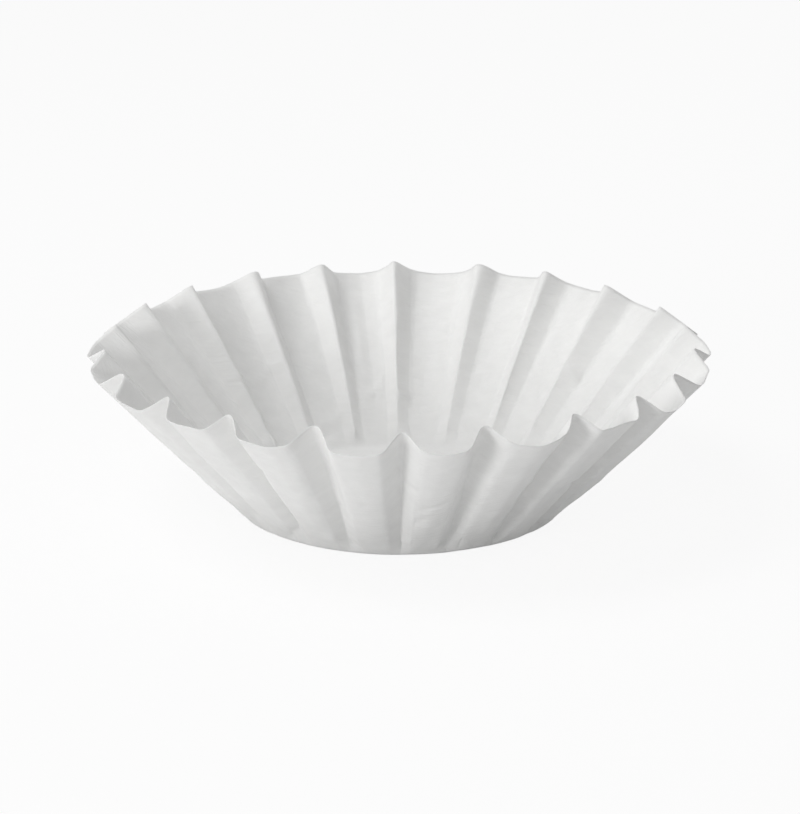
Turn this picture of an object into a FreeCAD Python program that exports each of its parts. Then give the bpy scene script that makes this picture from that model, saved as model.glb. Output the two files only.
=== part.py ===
"""Basket filter for a drip coffee brewer: one round blank of thin paper, pressed into a cup.

The bottom of the cup is flat. Its wall stands in upright pleats: flat panels outside, joined by V-shaped
folds that reach inwards. The paper isn't stretched, and that gives the wall its form. Each pleat takes up
the length that the blank has to spare over the cup's girth, so the pleats start at nothing at the bottom
fold and are deepest at the rim. Every line up the wall is as long as the next one, so the steeper inner
folds stand higher at the rim than the panels.

Lengths are in millimetres. The origin is the middle of the underside of the bottom, with +Z up. Angles
round the cup are counted from behind it, at +Y.
"""

import FreeCAD, Part
import os
from math import cos, hypot, pi, radians, sin, sqrt, tan

from FreeCAD import Vector

DRIVING_DIMENSIONS = (
    ("base_diameter", 108, "bottom, out to the fold where the wall starts"),
    ("wall_length", 70, "paper from the bottom fold to the rim"),
    ("wall_lean", 43.3, "lean of the outer panels from upright, in degrees"),
    ("paper_thickness", 0.18, "creped filter paper"),
    ("pleat_count", 22, "pleats round the wall"),
    ("panel_share", 0.56, "share of a pleat that is its flat outer panel"),
    ("foot_length", 9, "lowest stretch of the wall, where the pleats open fastest"),
    ("spacing_unevenness", 0.07, "how far a fold stands off its even place, as a share of a pleat"),
    ("fold_sway", 0.06, "how far a fold drifts sideways on its way to the rim, as a share of a pleat"),
    ("depth_unevenness", 0.1, "how far a fold's depth is off the mean, as a share of it"),
    ("panel_unevenness", 0.7, "how far in or out a panel stands at the rim"),
)

# How much of the leg before it and after it each corner's bend takes: at a fold line, then at the two
# edges of a panel.
BEND_SHARES = ((0.2, 0.2), (0.18, 0.11), (0.11, 0.18))


def make_sheet(document):
    """The spreadsheet of driving dimensions, one named cell each."""
    sheet = document.addObject("Spreadsheet::Sheet", "dimensions")
    for row, (name, value, meaning) in enumerate(DRIVING_DIMENSIONS, start=1):
        sheet.set(f"A{row}", name)
        sheet.set(f"B{row}", str(value))
        sheet.set(f"C{row}", meaning)
        sheet.setAlias(f"B{row}", name)
    document.recompute()
    return sheet


def place(radius, angle, height):
    """A point at an angle round the cup."""
    return Vector(radius * cos(pi / 2 + angle), radius * sin(pi / 2 + angle), height)


class PleatedWall:
    """The corners of the wall's outer face, in closed rings of three to a pleat: the fold line, then the
    two edges of the panel. The legs between them are the pleat's first side, its panel and its second
    side. The lowest ring lies on the round bottom fold."""

    def __init__(self, sheet):
        self.base_radius = sheet.base_diameter / 2
        self.wall_length = sheet.wall_length
        self.lean = radians(sheet.wall_lean)
        self.pleats = round(sheet.pleat_count)
        self.panel_share = sheet.panel_share
        self.spacing_unevenness = sheet.spacing_unevenness
        self.fold_sway = sheet.fold_sway
        self.depth_unevenness = sheet.depth_unevenness
        self.panel_unevenness = sheet.panel_unevenness
        self.pitch_angle = 2 * pi / self.pleats

    def wander(self, pleat, slow_waves, slow_phase, quick_waves, quick_phase):
        """A number from -1 to 1 that differs from pleat to pleat and closes round the cup."""
        turn = pleat * self.pitch_angle
        slow = sin(slow_waves * turn + slow_phase)
        quick = sin(quick_waves * turn + quick_phase)
        return 0.45 * slow + 0.55 * quick

    def panel_radius(self, along):
        return self.base_radius + along * sin(self.lean)

    def fold_angle(self, fold, along):
        """Where a fold line stands round the cup, some way along the wall."""
        spacing = self.spacing_unevenness * self.wander(fold, 3, 0.6, 8, 2.0)
        sway = self.fold_sway * along / self.wall_length * self.wander(fold, 2, 1.9, 7, 0.3)
        return (fold + spacing + sway) * self.pitch_angle

    def corner_angles(self, along):
        """Where the corners of a ring stand round the cup."""
        angles = []
        for pleat in range(self.pleats):
            fold, next_fold = self.fold_angle(pleat, along), self.fold_angle(pleat + 1, along)
            margin = (1 - self.panel_share) / 2 * (next_fold - fold)
            angles += [fold, fold + margin, next_fold - margin]
        return angles

    def fold_depth(self, fold, along):
        """How far a fold reaches in from the panels, by the paper that the pleat has to spare."""
        paper = (self.base_radius + along) * self.pitch_angle
        pitch = self.panel_radius(along) * self.pitch_angle
        side_length = (paper - self.panel_share * pitch) / 2
        side_run = (1 - self.panel_share) * pitch / 2
        even_depth = sqrt(max(side_length**2 - side_run**2, 0))
        return even_depth * (1 + self.depth_unevenness * self.wander(fold, 4, 4.1, 9, 1.2))

    def ring_at(self, along, lower_along=0, lower_ring=None):
        """The corners some way along the wall. Each is as far from the ring below as the paper is long."""
        ring = []
        for i, angle in enumerate(self.corner_angles(along)):
            pleat, edge = divmod(i, 3)
            if edge:
                off = self.panel_unevenness * along / self.wall_length * self.wander(pleat, 5, 1.1, 6, 2.5)
            else:
                off = -self.fold_depth(pleat, along)
            radius = self.panel_radius(along) + off
            height = 0
            if lower_ring:
                lower = lower_ring[i]
                height = lower.z + sqrt((along - lower_along) ** 2 - (radius - hypot(lower.x, lower.y)) ** 2)
            ring.append(place(radius, angle, height))
        return ring


def offset_inwards(rings, distance):
    """The same rings one paper thickness further in, each corner mitred between the facets round it."""
    facet_normals = []
    for lower, upper in zip(rings, rings[1:]):
        row = []
        for i in range(len(lower)):
            across = lower[i] - lower[i - 1] + upper[i] - upper[i - 1]
            up = upper[i] - lower[i] + upper[i - 1] - lower[i - 1]
            row.append(up.cross(across).normalize())
        facet_normals.append(row)
    moved = []
    for j, ring in enumerate(rings):
        rows = facet_normals[max(j - 1, 0) : j + 1]
        new_ring = []
        for i, corner in enumerate(ring):
            normals = [row[k] for row in rows for k in (i, (i + 1) % len(ring))]
            total = sum(normals, Vector())
            new_ring.append(corner + total * (distance * len(normals) / total.dot(total)))
        moved.append(new_ring)
    return moved


def bends_and_flats(corners, full_turn):
    """Start, middle and end of the bend at each corner and of the flat after it. Corners are points or
    angles, and full_turn is what one round adds to them."""
    count = len(corners)

    def corner(i):
        return corners[i % count] + full_turn * (i // count)

    def bend(i):
        here = corner(i)
        share_before, share_after = BEND_SHARES[i % 3]
        start = here + (corner(i - 1) - here) * share_before
        end = here + (corner(i + 1) - here) * share_after
        return start, here, end

    stretches = []
    for i in range(count):
        flat_start, flat_end = bend(i)[2], bend(i + 1)[0]
        stretches += [bend(i), (flat_start, (flat_start + flat_end) * 0.5, flat_end)]
    return stretches


def circle_outline(radius, height, corner_angles):
    """A circle in the stretches of a pleated ring, as control points with their weights."""
    outline = []
    for start, _, end in bends_and_flats(corner_angles, 2 * pi):
        half = (end - start) / 2
        first, last = place(radius, start, height), place(radius, end, height)
        outline.append([(first, 1), (place(radius / cos(half), start + half, height), cos(half)), (last, 1)])
    return outline


def pleated_outline(ring, weight):
    """A ring with its corners bent round, as control points with their weights."""
    return [[(point, weight) for point in stretch] for stretch in bends_and_flats(ring, Vector())]


def strips(outlines):
    """The faces between outlines, one to a stretch."""
    faces = []
    for rows in zip(*outlines):
        surface = Part.BezierSurface()
        surface.increase(len(rows) - 1, 2)
        for i, row in enumerate(rows, start=1):
            for j, (point, weight) in enumerate(row, start=1):
                surface.setPole(i, j, point, weight)
        faces.append(surface.toShape())
    return faces


def disc(outline):
    """The flat face inside a circle's outline."""
    edges = []
    for stretch in outline:
        curve = Part.BezierCurve()
        curve.increase(2)
        for i, (point, weight) in enumerate(stretch, start=1):
            curve.setPole(i, point, weight)
        edges.append(curve.toShape())
    return Part.Face(Part.Wire(edges))


def build_filter_paper(sheet):
    """The whole sheet of paper as one solid: bottom and wall, outside and inside, and the cut rim."""
    thickness, foot_length, wall_length = sheet.paper_thickness, sheet.foot_length, sheet.wall_length
    wall = PleatedWall(sheet)
    bottom_ring = wall.ring_at(0)
    foot_ring = wall.ring_at(foot_length, 0, bottom_ring)
    rim_ring = wall.ring_at(wall_length, foot_length, foot_ring)
    outer_rings = [bottom_ring, foot_ring, rim_ring]
    inner_rings = offset_inwards(outer_rings, thickness)

    # Weights as one over the girth let each strip's lines run straight, so that it draws in few facets.
    foot_weight = wall.base_radius / wall.panel_radius(foot_length)
    rim_weight = wall.base_radius / wall.panel_radius(wall_length)
    inner_radius = wall.base_radius - thickness * tan((pi / 2 - wall.lean) / 2)
    faces, rims = [], []
    for radius, height, rings in ((wall.base_radius, 0, outer_rings), (inner_radius, thickness, inner_rings)):
        bottom = circle_outline(radius, height, wall.corner_angles(0))
        foot = pleated_outline(rings[1], foot_weight)
        rim = pleated_outline(rings[2], rim_weight)
        faces += [disc(bottom)] + strips([bottom, foot]) + strips([foot, rim])
        rims.append(rim)
    faces += strips(rims)

    shell = Part.makeShell(faces)
    shell.sewShape()
    solid = Part.makeSolid(shell)
    if solid.Volume < 0:
        solid.reverse()
    return solid


def main():
    document = FreeCAD.newDocument("basket_filter")
    sheet = make_sheet(document)

    # No sketch feature or primitive folds a sheet into uneven pleats, so the solid is set directly.
    paper = document.addObject("Part::Feature", "filter_paper")
    paper.Label = "filter_paper"
    paper.Shape = build_filter_paper(sheet)
    paper.Placement = FreeCAD.Placement()
    document.recompute()

    for item in document.Objects:
        if "Invalid" in item.State or "Error" in item.State:
            raise RuntimeError(f"{item.Label} did not build: {item.State}")
    shape = paper.Shape
    if shape.isNull() or not shape.isValid() or len(shape.Solids) != 1:
        raise RuntimeError("the filter isn't one valid solid")

    os.makedirs("parts", exist_ok=True)
    shape.exportStep(f"parts/{paper.Label}.step")
    box = shape.BoundBox
    print(f"filter_paper: {box.XLength:.1f} x {box.YLength:.1f} x {box.ZLength:.1f} mm")
    print(f"volume {shape.Volume:.0f} mm3")


main()
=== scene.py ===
"""A basket filter of thin white paper, standing on a pale floor.

The filter is one sheet, so it is made as the factory makes it: a flat round blank is cut first, and then
it is pressed into a cup. Pressing doesn't stretch paper. The length that the blank has to spare over the
cup's girth goes into upright pleats, which start at nothing at the bottom fold and are deepest at the rim.

Lengths are in metres, and the origin is the middle of the underside of the bottom, with +Z up. Angles
round the cup are counted from behind it, at +Y. "Along" is a distance up the wall, measured on the paper
from the bottom fold.
"""

import random
from math import atan2, cos, exp, floor, hypot, pi, radians, sin, sqrt

import bmesh
import bpy
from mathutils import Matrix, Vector, noise


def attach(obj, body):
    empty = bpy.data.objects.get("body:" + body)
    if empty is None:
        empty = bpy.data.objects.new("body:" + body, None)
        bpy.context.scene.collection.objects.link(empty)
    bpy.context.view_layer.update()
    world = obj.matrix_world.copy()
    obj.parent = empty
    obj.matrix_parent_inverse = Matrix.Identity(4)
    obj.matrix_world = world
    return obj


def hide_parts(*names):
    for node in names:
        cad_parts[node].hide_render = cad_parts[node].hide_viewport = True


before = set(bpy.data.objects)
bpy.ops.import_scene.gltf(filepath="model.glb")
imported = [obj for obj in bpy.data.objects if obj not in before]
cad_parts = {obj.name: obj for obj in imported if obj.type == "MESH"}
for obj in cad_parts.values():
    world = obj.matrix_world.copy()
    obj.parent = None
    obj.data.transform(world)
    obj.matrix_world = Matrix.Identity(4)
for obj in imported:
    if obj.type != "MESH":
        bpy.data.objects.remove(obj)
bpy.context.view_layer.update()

MM = 0.001
RANDOM_SEED = 22

# The blank and the cup that it is pressed into: the sizes of the solid model.
BASE_RADIUS = 54 * MM
WALL_LENGTH = 70 * MM
WALL_LEAN = radians(43.3)
PAPER_THICKNESS = 0.18 * MM
PLEATS = 22
PITCH_ANGLE = 2 * pi / PLEATS
PANEL_SHARE = 0.56
SPACING_UNEVENNESS = 0.07
FOLD_SWAY = 0.06
DEPTH_UNEVENNESS = 0.1
PANEL_UNEVENNESS = 0.7 * MM

# The solid model's unevenness is the sum of slow and quick waves round the cup: the number and phase of the
# slow ones, then of the quick ones, and how much the two count.
SPACING_WAVES = (3, 0.6, 8, 2.0)
SWAY_WAVES = (2, 1.9, 7, 0.3)
DEPTH_WAVES = (4, 4.1, 9, 1.2)
PANEL_WAVES = (5, 1.1, 6, 2.5)
SLOW_SHARE = 0.45
QUICK_SHARE = 0.55

# How the press rounds the bottom fold, and how soon above it the pleats open and the panels are flat.
BOTTOM_FOLD_LENGTH = 4 * MM
PLEAT_START = 2.5 * MM
FACET_START = 9 * MM

# A pleat's corners are its fold line and the two edges of its panel. A corner's bend takes up a share of the
# leg before it and a share of the leg after it, given here for low on the wall and for the rim, where the
# paper springs open. The higher the power is, the nearer to the rim it does so.
PLEAT_CORNERS = 3
LOW_BEND_SHARES = ((0.13, 0.13), (0.16, 0.09), (0.09, 0.16))
RIM_BEND_SHARES = ((0.34, 0.34), (0.18, 0.1), (0.1, 0.18))
SPRING_POWER = 3

# Mesh columns in a pleat: the fold's bend, a side, an edge's bend, the panel, an edge's bend, a side.
STRETCH_COLUMNS = (6, 2, 4, 10, 4, 2)
PLEAT_COLUMNS = sum(STRETCH_COLUMNS)
COLUMNS = PLEATS * PLEAT_COLUMNS

# Mesh rings on the bottom, round the bottom fold and up the wall.
BOTTOM_STEPS = 14
FOLD_STEPS = 5
WALL_STEPS = 58
MERGE_DISTANCE = 0.01 * MM


def linear(hex_colour):
    """An sRGB colour such as F2F2EF as the linear colour, with alpha, that a shader takes."""
    channels = [int(hex_colour[i : i + 2], 16) / 255 for i in (0, 2, 4)]
    return [c / 12.92 if c <= 0.04045 else ((c + 0.055) / 1.055) ** 2.4 for c in channels] + [1]


def place(radius, angle, height):
    """A point at an angle round the cup."""
    return Vector((radius * cos(pi / 2 + angle), radius * sin(pi / 2 + angle), height))


def smooth_step(value):
    """0 for a value below 0, 1 for one above 1, and a soft rise between the two."""
    value = min(max(value, 0), 1)
    return value * value * (3 - 2 * value)


def arch(share):
    """1 half way across a stretch, and 0 at its two ends."""
    return 4 * share * (1 - share)


def spaced(start, end, steps):
    """Evenly spaced distances from start to end, without the start itself."""
    return [start + (end - start) * i / steps for i in range(1, steps + 1)]


def add_object(name, data):
    """A new object in the scene, at the origin."""
    item = bpy.data.objects.new(name, data)
    bpy.context.scene.collection.objects.link(item)
    return item


def add_shape(name, shape):
    """A new object in the scene, with the finished bmesh as its mesh."""
    mesh = bpy.data.meshes.new(name)
    shape.to_mesh(mesh)
    shape.free()
    return add_object(name, mesh)


def stretch_of(column):
    """The pleat that a mesh column is in, its stretch of that pleat and its share of the way across it. Even
    stretches are the bends of the corners, and odd ones are the flat rest of the legs."""
    pleat, rest = divmod(column, PLEAT_COLUMNS)
    stretch = 0
    while rest >= STRETCH_COLUMNS[stretch]:
        rest -= STRETCH_COLUMNS[stretch]
        stretch += 1
    return pleat, stretch, rest / STRETCH_COLUMNS[stretch]


class PressedWall:
    """Where the paper of the wall lies once it is pressed. Each pleat has three corners: the fold line that
    reaches inwards, and the two edges of the flat panel outside. The legs between them are the pleat's first
    side, its panel and its second side."""

    def __init__(self, distances):
        """distances are those along the wall at which the mesh has its rings. The first ring lies on the
        bottom, so its distance is negative."""
        self.distances = distances
        self.bends = [self.bend_shares(along) for along in distances]
        first = distances[0]
        self.rings = [[(BASE_RADIUS + first, angle, 0) for angle in self.corner_angles(first)]]
        for lower_along, along in zip(distances, distances[1:]):
            self.rings.append(self.ring_above(self.rings[-1], lower_along, along))

    def wander(self, pleat, slow_waves, slow_phase, quick_waves, quick_phase):
        """A number from -1 to 1 that differs from pleat to pleat and closes round the cup."""
        turn = pleat * PITCH_ANGLE
        slow = sin(slow_waves * turn + slow_phase)
        quick = sin(quick_waves * turn + quick_phase)
        return SLOW_SHARE * slow + QUICK_SHARE * quick

    def bend_shares(self, along):
        """How much of its two legs each corner's bend takes, some way up the wall."""
        spring = (max(along, 0) / WALL_LENGTH) ** SPRING_POWER
        return [
            [low + (high - low) * spring for low, high in zip(low_pair, high_pair)]
            for low_pair, high_pair in zip(LOW_BEND_SHARES, RIM_BEND_SHARES)
        ]

    def rise(self, along):
        """How steep the panels' paper is at a place, from 0 on the bottom to the wall's own slope."""
        return (pi / 2 - WALL_LEAN) * smooth_step(0.5 + along / BOTTOM_FOLD_LENGTH)

    def fold_angle(self, fold, along):
        """Where a fold line stands round the cup, some way up the wall."""
        spacing = SPACING_UNEVENNESS * self.wander(fold, *SPACING_WAVES)
        sway = FOLD_SWAY * max(along, 0) / WALL_LENGTH * self.wander(fold, *SWAY_WAVES)
        return (fold + spacing + sway) * PITCH_ANGLE

    def corner_angles(self, along):
        """Where the corners of a ring stand round the cup."""
        angles = []
        for pleat in range(PLEATS):
            fold, next_fold = self.fold_angle(pleat, along), self.fold_angle(pleat + 1, along)
            margin = (1 - PANEL_SHARE) / 2 * (next_fold - fold)
            angles += [fold, fold + margin, next_fold - margin]
        return angles

    def fold_depth(self, fold, along):
        """How far a fold reaches in from the panels, by the paper that the pleat has to spare."""
        if along <= 0:
            return 0
        paper = (BASE_RADIUS + along) * PITCH_ANGLE
        pitch = (BASE_RADIUS + along * sin(WALL_LEAN)) * PITCH_ANGLE
        side_length = (paper - PANEL_SHARE * pitch) / 2
        side_run = (1 - PANEL_SHARE) * pitch / 2
        even_depth = sqrt(max(side_length**2 - side_run**2, 0)) * (1 - exp(-along / PLEAT_START))
        return even_depth * (1 + DEPTH_UNEVENNESS * self.wander(fold, *DEPTH_WAVES))

    def ring_above(self, lower_ring, lower_along, along):
        """Radius, angle and height of a ring's corners, each as far from the ring below as the paper is
        long."""
        step = along - lower_along
        run = step * cos(self.rise((along + lower_along) / 2))
        ring = []
        for i, angle in enumerate(self.corner_angles(along)):
            pleat, edge = divmod(i, PLEAT_CORNERS)
            lower_radius, _, lower_height = lower_ring[i]
            if edge:
                moved = PANEL_UNEVENNESS * step / WALL_LENGTH * self.wander(pleat, *PANEL_WAVES)
            else:
                moved = self.fold_depth(pleat, lower_along) - self.fold_depth(pleat, along)
            out = run + moved
            ring.append((lower_radius + out, angle, lower_height + sqrt(max(step**2 - out**2, 0))))
        return ring

    def point(self, ring_number, column):
        """Where the paper at one ring and one mesh column lies."""
        ring, bends = self.rings[ring_number], self.bends[ring_number]
        facet = smooth_step(self.distances[ring_number] / FACET_START)
        pleat, stretch, share = stretch_of(column)
        first = PLEAT_CORNERS * pleat + stretch // 2

        def corner(i):
            radius, angle, height = ring[i % len(ring)]
            return radius, angle + 2 * pi * (i // len(ring)), height

        def between(start, end, part):
            """A point on the leg between two corners: on a straight line up the wall, and on an arc at the
            bottom."""
            on_arc = place(*(a + (b - a) * part for a, b in zip(start, end)))
            return place(*start).lerp(place(*end), part) * facet + on_arc * (1 - facet)

        def bend_end(i, side):
            """Where a corner's bend ends, on the leg before it for a side of -1 and after it for 1."""
            return between(corner(i), corner(i + side), bends[i % PLEAT_CORNERS][max(side, 0)])

        if stretch % 2 == 0:
            start, here, end = bend_end(first, -1), place(*corner(first)), bend_end(first, 1)
            return start.lerp(here, share).lerp(here.lerp(end, share), share)
        low, high = bends[first % PLEAT_CORNERS][1], 1 - bends[(first + 1) % PLEAT_CORNERS][0]
        return between(corner(first), corner(first + 1), low + (high - low) * share)


# The wall's bellies, creases and slight waves grow to their full height over SLACK_LENGTH. The strip that
# curls is CURL_WIDTH wide, up to the cut edge. Over FIRM_LENGTH, next to the bottom fold, all of it and the
# dents fade out.
SLACK_LENGTH = 30 * MM
CURL_WIDTH = 18 * MM
FIRM_LENGTH = 4 * MM
WAVE_HEIGHT = 0.35 * MM
WAVE_LENGTH = 16 * MM

# The bottom comes down to the floor over BOTTOM_EDGE_WIDTH all round, and otherwise stands BOTTOM_LIFT off
# it, give or take its waves. They set in over BOTTOM_WAVE_START, from the level spot round the middle on.
BOTTOM_EDGE_WIDTH = 12 * MM
BOTTOM_LIFT = 0.5 * MM
BOTTOM_WAVE_HEIGHT = 0.65 * MM
BOTTOM_WAVE_LENGTH = 14 * MM
BOTTOM_WAVE_START = 16 * MM
LEVEL_RADIUS = 4 * MM

# Ranges for what is drawn at random, in millimetres. A crease's place is a share of the panel's width.
BELLY_RANGE = (-0.45, 0.6)
CREASE_HEIGHT_RANGE = (0.3, 1.2)
CREASE_PLACE_RANGE = (0.3, 0.7)
CURL_RANGE = (-0.6, 0.8)

# Small dents, which are most common low on the wall, and longer ones further up: how many, the usual place
# along the wall, and the ranges of length, width and depth, in millimetres. A dent has faded out by
# DENT_REACH times its length.
DENTS = (
    (120, 4, (2, 6.5), (1.5, 3), (-0.75, 0.35)),
    (26, 30, (9, 17), (2.2, 3.4), (-0.8, 0.5)),
)
DENT_PLACE_RANGE = (1, 58)
DENT_REACH = 3

# The paper crumples a little where each pleat starts: where along the wall and, in pleats, round the cup,
# and the lengths, widths and depths, in millimetres.
CRUMPLE_PLACE_RANGE = (3, 9)
CRUMPLE_SIDE_RANGE = (-0.3, 0.3)
CRUMPLE_LENGTH_RANGE = (2, 3.5)
CRUMPLE_WIDTH_RANGE = (1.4, 2.2)
CRUMPLE_DEPTHS = (-0.8, -0.5, 0.4)


class HandledPaper:
    """What the press, the packing and the hand have left in the paper: each flat stretch bellies a little,
    each panel has a soft upright crease, the cut edge curls, and there are dents and crumples."""

    def __init__(self):
        draw = random.Random(RANDOM_SEED)
        legs = PLEAT_CORNERS * PLEATS
        self.bellies = [draw.uniform(*BELLY_RANGE) * MM for _ in range(legs)]
        self.creases = [
            (draw.uniform(*CREASE_HEIGHT_RANGE) * MM, draw.uniform(*CREASE_PLACE_RANGE)) for _ in range(legs)
        ]
        self.curls = [draw.uniform(*CURL_RANGE) * MM for _ in range(legs)]

        def dent_shape(length_range, width_range):
            """A dent's turn on the sheet, its length and its width."""
            return draw.uniform(0, pi), draw.uniform(*length_range) * MM, draw.uniform(*width_range) * MM

        self.dents = []
        for count, usual_place, length_range, width_range, depth_range in DENTS:
            for _ in range(count):
                along = draw.triangular(*DENT_PLACE_RANGE, usual_place) * MM
                centre = place(BASE_RADIUS + along, draw.uniform(0, 2 * pi), 0)
                shape = dent_shape(length_range, width_range)
                self.dents.append((centre, *shape, draw.uniform(*depth_range) * MM))
        for fold in range(PLEATS):
            along = draw.uniform(*CRUMPLE_PLACE_RANGE) * MM
            centre = place(BASE_RADIUS + along, (fold + draw.uniform(*CRUMPLE_SIDE_RANGE)) * PITCH_ANGLE, 0)
            shape = dent_shape(CRUMPLE_LENGTH_RANGE, CRUMPLE_WIDTH_RANGE)
            self.dents.append((centre, *shape, draw.choice(CRUMPLE_DEPTHS) * MM))

    def paper_position(self, column):
        """The leg of the pleats that a mesh column is on, and its share of the way across the leg. The
        shares at the rim serve for the whole wall, so that a belly keeps to its columns."""
        pleat, stretch, share = stretch_of(column)
        corner = stretch // 2
        before, after = RIM_BEND_SHARES[corner]
        if stretch % 2 == 0:
            position = corner - before + share * (before + after)
        else:
            end = 1 - RIM_BEND_SHARES[(corner + 1) % PLEAT_CORNERS][0]
            position = corner + after + share * (end - after)
        leg = floor(position)
        return (PLEAT_CORNERS * pleat + leg) % (PLEAT_CORNERS * PLEATS), position - leg

    def dent_depth(self, blank_point):
        """How far the dents move the paper at a point of the blank. A dent is V-shaped across and fades out
        towards its two ends."""
        total = 0
        for centre, turn, length, width, depth in self.dents:
            offset = blank_point - centre
            if abs(offset.x) + abs(offset.y) > DENT_REACH * length:
                continue
            run = (offset.x * cos(turn) + offset.y * sin(turn)) / length
            across = (offset.y * cos(turn) - offset.x * sin(turn)) / width
            total += depth * exp(-run * run) * max(1 - abs(across), 0)
        return total

    def wall_lift(self, blank_point, along, column):
        """How far the wall's paper stands out from its plain place."""
        leg, share = self.paper_position(column)
        slack = self.bellies[leg] * arch(share) + WAVE_HEIGHT * noise.noise(blank_point / WAVE_LENGTH)
        is_panel = leg % PLEAT_CORNERS == 1
        if is_panel:
            height, crest = self.creases[leg]
            slack += height * min(share / crest, (1 - share) / (1 - crest))
        curl = self.curls[leg] * arch(share) * smooth_step(1 - (WALL_LENGTH - along) / CURL_WIDTH)
        total = slack * smooth_step(along / SLACK_LENGTH) + curl + self.dent_depth(blank_point)
        return total * smooth_step(along / FIRM_LENGTH)

    def bottom_lift(self, blank_point):
        """How far the bottom stands off the floor, which it meets all round its edge. It is level round the
        middle, where the mesh columns meet."""
        radius = blank_point.length
        inward = smooth_step((BASE_RADIUS - radius) / BOTTOM_EDGE_WIDTH)
        uneven = smooth_step((radius - LEVEL_RADIUS) / BOTTOM_WAVE_START)
        waves = BOTTOM_WAVE_HEIGHT * noise.noise(blank_point / BOTTOM_WAVE_LENGTH)
        return inward * (BOTTOM_LIFT + uneven * waves)


def cut_blank():
    """The flat round blank: a line from its middle to its edge, spun once round. Also gives the distances
    from the bottom fold at which the line has its points, which are negative on the bottom."""
    half_fold = BOTTOM_FOLD_LENGTH / 2
    distances = [-BASE_RADIUS] + spaced(-BASE_RADIUS, -half_fold, BOTTOM_STEPS)
    distances += spaced(-half_fold, half_fold, FOLD_STEPS) + spaced(half_fold, WALL_LENGTH, WALL_STEPS)

    blank = bmesh.new()
    line = [blank.verts.new((0, BASE_RADIUS + along, 0)) for along in distances]
    edges = [blank.edges.new(pair) for pair in zip(line, line[1:])]
    bmesh.ops.spin(
        blank,
        geom=line + edges,
        cent=(0, 0, 0),
        axis=(0, 0, 1),
        angle=2 * pi,
        steps=COLUMNS,
        use_merge=True,
        use_duplicate=False,
    )
    bmesh.ops.remove_doubles(blank, verts=blank.verts, dist=MERGE_DISTANCE)
    bmesh.ops.recalc_face_normals(blank, faces=blank.faces)
    return blank, distances


def press_blank(blank, distances):
    """Moves every point of the flat blank to its place in the cup. The point's flat place stays with it as
    an attribute, which the crepe is drawn by."""
    flat_place = blank.verts.layers.float_vector.new("blank")
    wall = PressedWall(distances[BOTTOM_STEPS:])
    paper = HandledPaper()
    on_wall = []
    for vert in blank.verts:
        vert[flat_place] = vert.co
        x, y, _ = vert.co
        radius = hypot(x, y)
        ring = min(range(len(distances)), key=lambda i: abs(BASE_RADIUS + distances[i] - radius))
        column = round((atan2(y, x) - pi / 2) / (2 * pi) * COLUMNS) % COLUMNS
        if ring >= BOTTOM_STEPS:
            vert.co = wall.point(ring - BOTTOM_STEPS, column)
            on_wall.append((vert, distances[ring], column))
        else:
            edge_point = wall.point(0, column)
            vert.co = edge_point * (radius / hypot(edge_point.x, edge_point.y))
            vert.co.z = paper.bottom_lift(vert[flat_place])
    bmesh.ops.recalc_face_normals(blank, faces=blank.faces)
    blank.normal_update()
    outward = [vert.normal.copy() for vert, _, _ in on_wall]
    for (vert, along, column), normal in zip(on_wall, outward):
        if along > 0:
            vert.co += normal * paper.wall_lift(vert[flat_place], along, column)


def make_filter_paper():
    """The one sheet. The pressed faces are its outside, and its thickness goes inwards from them."""
    blank, distances = cut_blank()
    press_blank(blank, distances)
    for face in blank.faces:
        face.smooth = True
    paper = add_shape("filter_paper_pressed", blank)
    thickness = paper.modifiers.new("paper thickness", "SOLIDIFY")
    thickness.thickness = PAPER_THICKNESS
    thickness.offset = -1
    thickness.use_even_offset = True
    paper.data.materials.append(bleached_creped_filter_paper())
    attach(paper, "root")
    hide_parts("filter_paper")


def add_node(tree, kind, links=(), **settings):
    """Adds a node, sets its properties and sockets, and links (socket, source) pairs into it."""
    node = tree.nodes.new(kind)
    for name, value in settings.items():
        setattr(node, name, value)
    for socket, source in links:
        if isinstance(source, bpy.types.NodeSocket):
            tree.links.new(source, node.inputs[socket])
        else:
            node.inputs[socket].default_value = source
    return node


def new_material(name):
    """A new material with no nodes yet, and its node tree."""
    material = bpy.data.materials.new(name)
    material.use_nodes = True
    material.node_tree.nodes.clear()
    return material, material.node_tree


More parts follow.
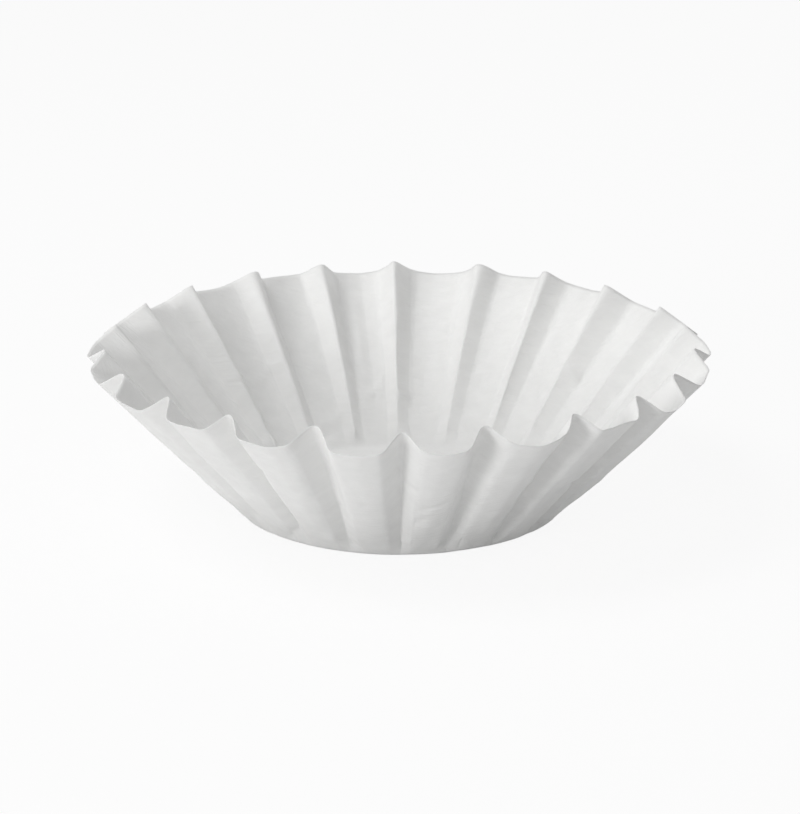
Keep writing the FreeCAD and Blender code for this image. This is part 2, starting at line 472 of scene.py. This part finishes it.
def bleached_creped_filter_paper():
    """Filter paper: bleached pulp, unsized and uncoated, so it has no gloss at all. It is creped on the
    drying cylinder, which leaves fine broken ripples that all run one way across the blank. The pulp lies in
    faint clouds, which show as a slight unevenness of the white."""
    material, tree = new_material("bleached_creped_filter_paper")
    blank = add_node(tree, "ShaderNodeAttribute", attribute_name="blank").outputs["Vector"]

    # Real crepe is 0.4 to 0.6 mm from ripple to ripple. It is drawn at 1 mm, so that it shows in the render.
    ripple_pitch = 1 * MM
    ripple_length = 8 * MM
    ripple_relief = 0.22 * MM
    fibre_width = 0.35 * MM
    fibre_relief = 0.02 * MM
    cloud_width = 5 * MM

    ripple_place = add_node(
        tree, "ShaderNodeMapping", [("Vector", blank), ("Scale", (1 / ripple_length, 1 / ripple_pitch, 1))]
    )
    ripples = add_node(
        tree,
        "ShaderNodeTexNoise",
        [
            ("Vector", ripple_place.outputs[0]),
            ("Scale", 1),
            ("Detail", 2),
            ("Roughness", 0.5),
            ("Distortion", 0.3),
        ],
    )
    fibres = add_node(
        tree, "ShaderNodeTexNoise", [("Vector", blank), ("Scale", 1 / fibre_width), ("Detail", 1)]
    )
    clouds = add_node(
        tree,
        "ShaderNodeTexNoise",
        [("Vector", blank), ("Scale", 1 / cloud_width), ("Detail", 3), ("Roughness", 0.6)],
    )
    white = add_node(
        tree,
        "ShaderNodeMix",
        [("Factor", clouds.outputs["Fac"]), ("A", linear("EDEDEC")), ("B", linear("F7F7F6"))],
        data_type="RGBA",
    )
    fibre_bump = add_node(
        tree, "ShaderNodeBump", [("Height", fibres.outputs["Fac"]), ("Distance", fibre_relief)]
    )
    crepe_bump = add_node(
        tree,
        "ShaderNodeBump",
        [("Height", ripples.outputs["Fac"]), ("Distance", ripple_relief), ("Normal", fibre_bump.outputs[0])],
    )
    shader = add_node(
        tree,
        "ShaderNodeBsdfPrincipled",
        [
            ("Base Color", white.outputs["Result"]),
            ("Normal", crepe_bump.outputs[0]),
            ("Roughness", 0.95),
            ("IOR", 1.47),
            ("Specular IOR Level", 0.2),
        ],
    )
    add_node(tree, "ShaderNodeOutputMaterial", [("Surface", shader.outputs["BSDF"])])
    return material


# The studio: how far the floor reaches each way, how little it lies under the filter and how much plain
# white lifts it, and how strongly the surround lights the filter.
FLOOR_REACH = 4
FLOOR_GAP = 0.1 * MM
FLOOR_WHITE_SHARE = 0.9
SURROUND_STRENGTH = 0.41

# Each lamp's name, place, width in metres and power in watts. They all point at the origin.
LAMPS = (
    ("overhead", (-0.6, -0.1, 1.1), 0.6, 5.5),
    ("front_left", (-0.95, -1.1, 0.32), 0.4, 6),
    ("back_right", (1.1, 0.95, 0.32), 0.6, 3),
)

# The camera stands in front, a little above the filter, and looks at its middle through a long lens.
CAMERA_ELEVATION = radians(18)
CAMERA_DISTANCE = 0.973
CAMERA_TARGET = Vector((0, 0, 32 * MM))
LENS_MM = 130


def mix_white_in(tree, lit, white, white_share):
    """Shows lit to light rays, and the white shader, by its share, to the rays that make up the picture."""
    rays = add_node(tree, "ShaderNodeLightPath").outputs
    seen = rays["Is Camera Ray"]
    for other in ("Is Glossy Ray", "Is Transmission Ray"):
        seen = add_node(tree, "ShaderNodeMath", [(0, seen), (1, rays[other])], operation="MAXIMUM").outputs[0]
    share = add_node(tree, "ShaderNodeMath", [(0, seen), (1, white_share)], operation="MULTIPLY")
    return add_node(
        tree, "ShaderNodeMixShader", [(0, share.outputs[0]), (1, lit.outputs[0]), (2, white.outputs[0])]
    ).outputs[0]


def pale_studio_floor():
    """White studio paper. A share of plain white lifts it to the photograph's background, and the rest
    keeps the filter's shadow."""
    material, tree = new_material("pale_studio_floor")
    lit = add_node(tree, "ShaderNodeBsdfDiffuse", [("Color", linear("F4F4F4"))])
    white = add_node(tree, "ShaderNodeEmission", [("Color", (1, 1, 1, 1)), ("Strength", 1)])
    surface = mix_white_in(tree, lit, white, FLOOR_WHITE_SHARE)
    add_node(tree, "ShaderNodeOutputMaterial", [("Surface", surface)])
    return material


def make_floor():
    """A wide flat sheet, a hair under the filter."""
    sheet = bmesh.new()
    bmesh.ops.create_grid(sheet, x_segments=1, y_segments=1, size=FLOOR_REACH)
    bmesh.ops.translate(sheet, verts=sheet.verts, vec=(0, 0, -FLOOR_GAP))
    studio_floor = add_shape("studio_floor", sheet)
    studio_floor.data.materials.append(pale_studio_floor())


def aim(item, position, target):
    """Puts a lamp or the camera at a position, and turns it to look at the target."""
    item.location = position
    item.rotation_euler = (target - position).to_track_quat("-Z", "Y").to_euler()


def light_the_scene():
    """Even light from all round, a soft lamp overhead, and two low ones whose slanting light shows the
    pleats."""
    world = bpy.data.worlds.new("studio_surround")
    bpy.context.scene.world = world
    world.use_nodes = True
    tree = world.node_tree
    tree.nodes.clear()
    lit = add_node(
        tree, "ShaderNodeBackground", [("Color", (1, 1, 1, 1)), ("Strength", SURROUND_STRENGTH)]
    )
    white = add_node(tree, "ShaderNodeBackground", [("Color", (1, 1, 1, 1)), ("Strength", 1)])
    add_node(tree, "ShaderNodeOutputWorld", [("Surface", mix_white_in(tree, lit, white, 1))])

    for name, position, width, power in LAMPS:
        lamp = bpy.data.lights.new(name, "AREA")
        lamp.size = width
        lamp.energy = power
        aim(add_object(name, lamp), Vector(position), Vector())


def place_camera():
    """The camera at the photograph's viewing angle."""
    camera = bpy.data.cameras.new("camera")
    camera.lens = LENS_MM
    away = Vector((0, -cos(CAMERA_ELEVATION), sin(CAMERA_ELEVATION)))
    holder = add_object("camera", camera)
    aim(holder, CAMERA_TARGET + away * CAMERA_DISTANCE, CAMERA_TARGET)
    bpy.context.scene.camera = holder


make_filter_paper()
make_floor()
light_the_scene()
place_camera()
bpy.context.scene.view_settings.view_transform = "Standard"
